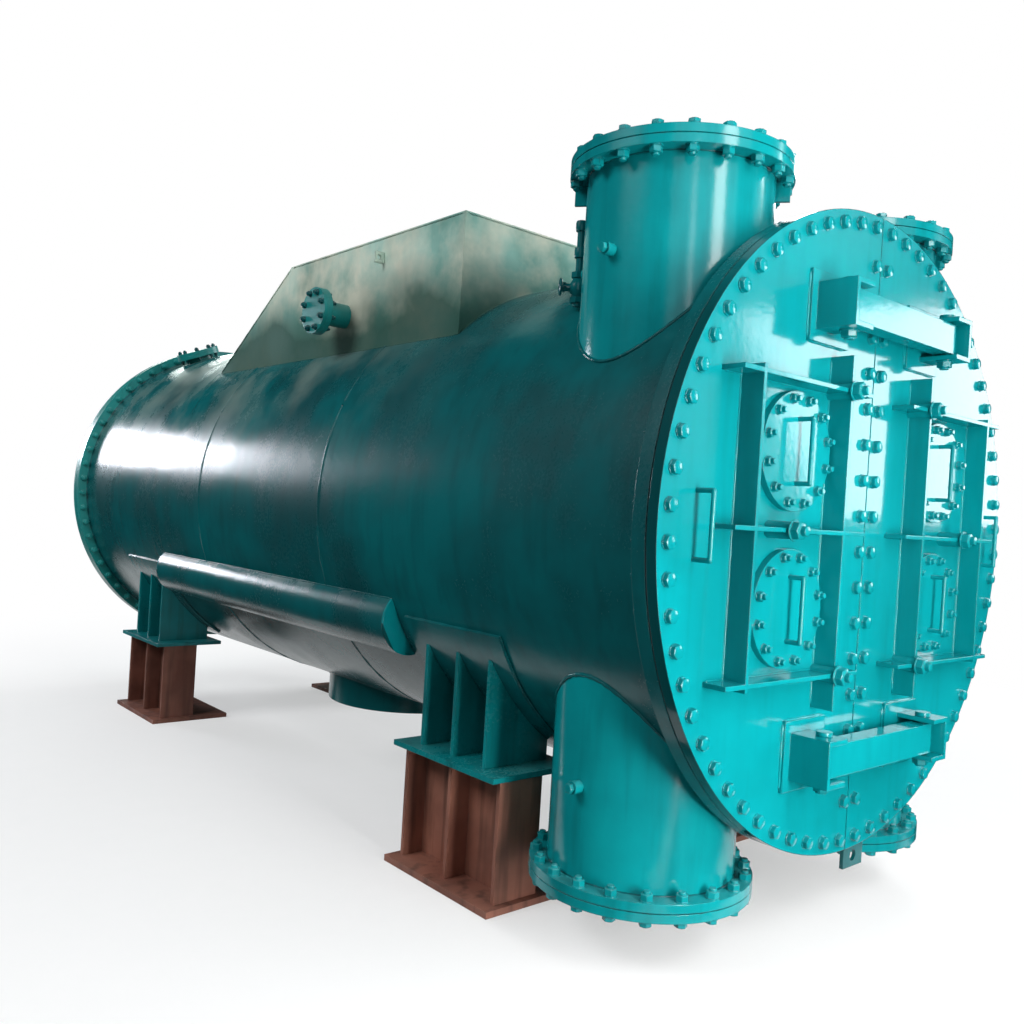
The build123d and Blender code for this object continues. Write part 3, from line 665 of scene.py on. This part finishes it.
# hood: foot, upright corners and the edges of the lid
hood = {"half": hoodBox[1].x, "front": hoodBox[0].y, "top": hoodLid[1].z, "lidEnd": doorFace + 2.934,
        "footEnd": doorFace + 3.76, "foot": axisZ + 0.715}
slope = (hood["top"] - hood["foot"]) / (hood["footEnd"] - hood["lidEnd"])
lidEdge = hood["top"] - weld["lid"]
x = np.linspace(-hood["half"], hood["half"], 60)
over = axisZ + np.sqrt(shellRadius ** 2 - x ** 2)
hoodSeams = [bead(np.stack([x, np.full_like(x, hood["front"]), over], -1), weld["fillet"]),
             bead(np.stack([x, hood["lidEnd"] + (hood["top"] - over) / slope, over], -1), weld["fillet"])]
for side in (-1, 1):
    edge = side * hood["half"]
    corners = [(edge, hood["front"], hood["foot"]), (edge, hood["front"], lidEdge),
               (edge, hood["lidEnd"], lidEdge), (edge, hood["footEnd"], hood["foot"])]
    hoodSeams += beadsRound(corners, weld["rib"])
for y in (hood["front"], hood["lidEnd"]):
    hoodSeams.append(bead(line((-hood["half"], y, lidEdge), (hood["half"], y, lidEdge)), weld["rib"]))
makePiece("hood_welds", joinSets(hoodSeams), "root", "hood_paint", crease=60)

# stiffening ribs and the pads of the link brackets on each door
ribs = {"uprights": ((0.27, 0.57), (0.75, 0.475)), "levels": (-0.455, 0, 0.455), "from": 0.14, "to": 0.85,
        "half": 0.007, "padX": (0.2, 0.43), "padHalf": 0.113, "step": 0.02}
for side, body, name in doors:
    seams = []
    for x, reach in ribs["uprights"]:
        for shift in (-ribs["half"], ribs["half"]):
            seams.append(bead(line((side * x + shift, doorFace, axisZ - reach),
                                   (side * x + shift, doorFace, axisZ + reach), ribs["step"]), weld["rib"]))
    for level in ribs["levels"]:
        for shift in (-ribs["half"], ribs["half"]):
            z = axisZ + level + shift
            seams.append(bead(line((side * ribs["from"], doorFace, z), (side * ribs["to"], doorFace, z),
                                   ribs["step"]), weld["rib"]))
    for above in (1, -1):
        low, high = (axisZ + above * linkLevel + shift for shift in (-ribs["padHalf"], ribs["padHalf"]))
        inner, outer = side * ribs["padX"][0], side * ribs["padX"][1]
        seams += beadsRound([(inner, doorFace, low), (outer, doorFace, low), (outer, doorFace, high),
                             (inner, doorFace, high)], weld["fillet"], ribs["step"])
    makePiece(name + "_door_welds", joinSets(seams), body, "door_paint", crease=60)
print("welds done")


# tube ends in the tube sheet, on a triangular pitch, clear of the rim and of the partition plates
tubes = {"outer": 0.0125, "bore": 0.0105, "stands": 0.004, "pitch": 0.04, "field": 0.93, "lane": 0.035,
         "sunk": 0.0002, "taper": 0.001, "floor": 0.0004}
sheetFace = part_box("tube_sheet")[0].y
count = int(tubes["field"] / tubes["pitch"]) + 2
column, row = np.meshgrid(np.arange(-count, count + 1), np.arange(-count * 2, count * 2 + 1))
x = (column + 0.5 * (row % 2)) * tubes["pitch"]
z = row * tubes["pitch"] * math.sqrt(3) / 2
keep = (np.hypot(x, z) < tubes["field"]) & (np.abs(x) > tubes["lane"]) & (np.abs(z) > tubes["lane"])
places = np.stack([x[keep], np.full(keep.sum(), sheetFace), axisZ + z[keep]], -1)
tubeEnd = turned([
    (0, -tubes["sunk"], 0), (tubes["outer"] + tubes["taper"], -tubes["sunk"], 0),
    (tubes["outer"], tubes["stands"], 0), (tubes["bore"], tubes["stands"], 0),
    (tubes["bore"] - tubes["taper"], tubes["floor"], 0), (0, tubes["floor"], 0)], 8)
makePiece("tube_ends", placeMany(*tubeEnd, places, (0, -1, 0), turn=False), "root", "tube_sheet_metal")
print("tube ends:", len(places))


# floor, light and camera
floorLook = {"reach": 60.0, "sunk": 0.001, "pale": "#fafbfb", "light": "#707374", "fadeFrom": 2.4,
             "fadeTo": 6.5, "fadeLeast": 0.45}


def floorMaterial(name, look):
    # pale painted concrete near the object, running into the white backdrop further off; what it
    # throws back as light is that of a plain grey floor
    material, tree, place = emptyMaterial(name)
    grain = addNode(tree, "ShaderNodeTexNoise", {"Scale": 8.0, "Detail": 4.0},
                    {"Vector": place}).outputs["Fac"]
    colour = mixColour(tree, grain, hexColour(look["pale"]), hexColour("#ffffff"))
    rays = addNode(tree, "ShaderNodeLightPath")
    seen = mathNode(tree, "ADD", rays.outputs["Is Camera Ray"], rays.outputs["Is Glossy Ray"], clamp=True)
    colour = mixColour(tree, seen, hexColour(look["light"]), colour)
    matt = addNode(tree, "ShaderNodeBsdfDiffuse", {}, {"Color": colour})
    white = addNode(tree, "ShaderNodeEmission", {"Strength": 1.0, "Color": (1, 1, 1, 1)})
    away = addNode(tree, "ShaderNodeVectorMath", {"operation": "LENGTH"}, {0: place}).outputs["Value"]
    fade = rangeNode(tree, away, look["fadeFrom"], look["fadeTo"], look["fadeLeast"])
    mixed = addNode(tree, "ShaderNodeMixShader", {}, {
        0: mathNode(tree, "MULTIPLY", fade, seen), 1: matt.outputs[0], 2: white.outputs[0]})
    addNode(tree, "ShaderNodeOutputMaterial", links={"Surface": mixed.outputs[0]})
    return material


def darkCloth(name):
    # black studio cloth: matt, a little green-grey from the hall
    material, tree, _ = emptyMaterial(name)
    cloth = addNode(tree, "ShaderNodeBsdfDiffuse", {"Color": hexColour("#0f2022")})
    addNode(tree, "ShaderNodeOutputMaterial", links={"Surface": cloth.outputs[0]})
    return material


def flatCard(name, corners, material):
    mesh = bpy.data.meshes.new(name)
    mesh.from_pydata(corners, [], [(0, 1, 2, 3)])
    mesh.materials.append(material)
    return addObject(name, mesh)


reach, low = floorLook["reach"], -floorLook["sunk"]
corners = [(-reach, -reach, low), (reach, -reach, low), (reach, reach, low), (-reach, reach, low)]
floor = flatCard("floor", corners, floorMaterial("paleFloor", floorLook))

# dark cloths that only reflections see, round a studio: they keep the gloss paint deep in tone
cloths = {
    "leftCloth": [(-7, -6, 0.01), (-7, 13, 0.01), (-7, 13, 14), (-7, -6, 14)],
    "farCloth": [(-7, 13, 0.01), (11.5, 13, 0.01), (11.5, 13, 14), (-7, 13, 14)],
    "rightCloth": [(11.5, -2.5, 0.01), (11.5, 13, 0.01), (11.5, 13, 14), (11.5, -2.5, 14)],
    "frontCloth": [(2.5, -11.5, 0.01), (11.5, -2.5, 0.01), (11.5, -2.5, 14), (2.5, -11.5, 14)],
    "roofCloth": [(-7, -12, 14), (11.5, -12, 14), (11.5, 13, 14), (-7, 13, 14)],
    "leftFloorCloth": [(-7, -6, 0.003), (-1.25, -6, 0.003), (-1.25, 13, 0.003), (-7, 13, 0.003)],
    "rightFloorCloth": [(1.25, -3.0, 0.003), (11.5, -3.0, 0.003), (11.5, 13, 0.003), (1.25, 13, 0.003)],
    "frontFloorCloth": [(-1.0, -10, 0.003), (10, -10, 0.003), (10, -3.0, 0.003), (-1.0, -3.0, 0.003)],
}
clothMaterial = darkCloth("blackStudioCloth")
for name, corners in cloths.items():
    card = flatCard(name, corners, clothMaterial)
    card.visible_camera = card.visible_diffuse = card.visible_transmission = card.visible_shadow = False

# the world: white where it is seen, straight or in a reflection, and a weak grey sky as light
world = bpy.data.worlds.new("studio")
bpy.context.scene.world = world
world.use_nodes = True
tree = world.node_tree
tree.nodes.clear()
rays = addNode(tree, "ShaderNodeLightPath")
seen = mathNode(tree, "ADD", rays.outputs["Is Camera Ray"], rays.outputs["Is Transmission Ray"], clamp=True)
seen = mathNode(tree, "ADD", seen, rays.outputs["Is Glossy Ray"], clamp=True)
skyLight = addNode(tree, "ShaderNodeBackground", {"Color": hexColour("#e9f0f2"), "Strength": 0.16})
backdrop = addNode(tree, "ShaderNodeBackground", {"Color": (1, 1, 1, 1), "Strength": 1.0})
both = addNode(tree, "ShaderNodeMixShader", {}, {0: seen, 1: skyLight.outputs[0], 2: backdrop.outputs[0]})
addNode(tree, "ShaderNodeOutputWorld", links={"Surface": both.outputs[0]})

lamps = {  # place, target, width, height, power, colour
    "doorWindow": ((7.0, -6.7, 2.75), (0, -2.6, 1.9), 5.2, 2.4, 300, "#fafcff"),
    "doorFanlight": ((7.3, -7.0, 5.2), (0, -2.2, 2.0), 1.6, 1.6, 90, "#fafcff"),
    "frontWindow": ((-1.0, -5.4, 0.95), (-0.5, -2.3, 1.05), 0.8, 1.8, 125, "#fffdfb"),
    "frontStrip": ((-0.9, -5.7, 3.3), (-0.6, -2.2, 2.2), 0.8, 1.7, 60, "#fffdfb"),
    "frontLeft": ((-5.5, -9.5, 4.5), (-0.5, -1.0, 1.6), 0.9, 2.2, 30, "#fbfdff"),
    "highSky": ((0.5, -7.5, 7.5), (0, -1.0, 1.4), 5.0, 3.0, 240, "#fbfdff"),
    "farWindow": ((-3.1, 9.2, 3.1), (-0.8, 1.0, 1.8), 2.0, 1.3, 230, "#f6f6ff"),
    "farDoor": ((-4.8, 8.9, 3.0), (-0.8, 1.0, 1.8), 1.2, 1.2, 14, "#f1f8ff"),
    "backSky": ((3.0, 12.0, 5.4), (-0.5, 1.0, 2.2), 3.4, 1.6, 150, "#f4fff9"),
    "leftSky": ((-8.0, 0.5, 7.0), (0, 0.4, 1.9), 4.6, 3.0, 450, "#fdfdff"),
    "rightSky": ((8.0, 2.0, 7.0), (0, 0.5, 1.9), 5.0, 3.0, 400, "#fdfdff"),
}
for name, (place, target, width, height, power, colour) in lamps.items():
    data = bpy.data.lights.new(name, "AREA")
    data.shape, data.size, data.size_y = "RECTANGLE", width, height
    data.energy, data.color = power, hexColour(colour)[:3]
    lamp = addObject(name, data)
    lamp.location = place
    lamp.rotation_euler = (Vector(target) - Vector(place)).to_track_quat("-Z", "Y").to_euler()
    lamp.visible_camera = False

# the camera stands where the photograph was taken from
view = {"place": (-3.0355, doorFace - 1.6548, 1.4098), "yaw": 40.806, "pitch": -0.122, "roll": 3.514,
        "lens": 33.0, "sensor": 36.0, "clip": (0.05, 200.0)}
yaw, pitch, roll = (math.radians(view[key]) for key in ("yaw", "pitch", "roll"))
ahead = np.array([math.sin(yaw) * math.cos(pitch), math.cos(yaw) * math.cos(pitch), math.sin(pitch)])
level = np.array([math.cos(yaw), -math.sin(yaw), 0])
upward = np.cross(level, ahead)
acrossView = math.cos(roll) * level + math.sin(roll) * upward
upView = -math.sin(roll) * level + math.cos(roll) * upward
camera = addObject("camera", bpy.data.cameras.new("camera"))
camera.data.lens, camera.data.sensor_width = view["lens"], view["sensor"]
camera.data.clip_start, camera.data.clip_end = view["clip"]
axes = np.stack([acrossView, upView, -ahead], 1)
camera.matrix_world = Matrix([[*axes[i].tolist(), view["place"][i]] for i in range(3)] + [[0, 0, 0, 1]])
bpy.context.scene.camera = camera
bpy.context.scene.view_settings.view_transform = "Standard"
print("stage done")
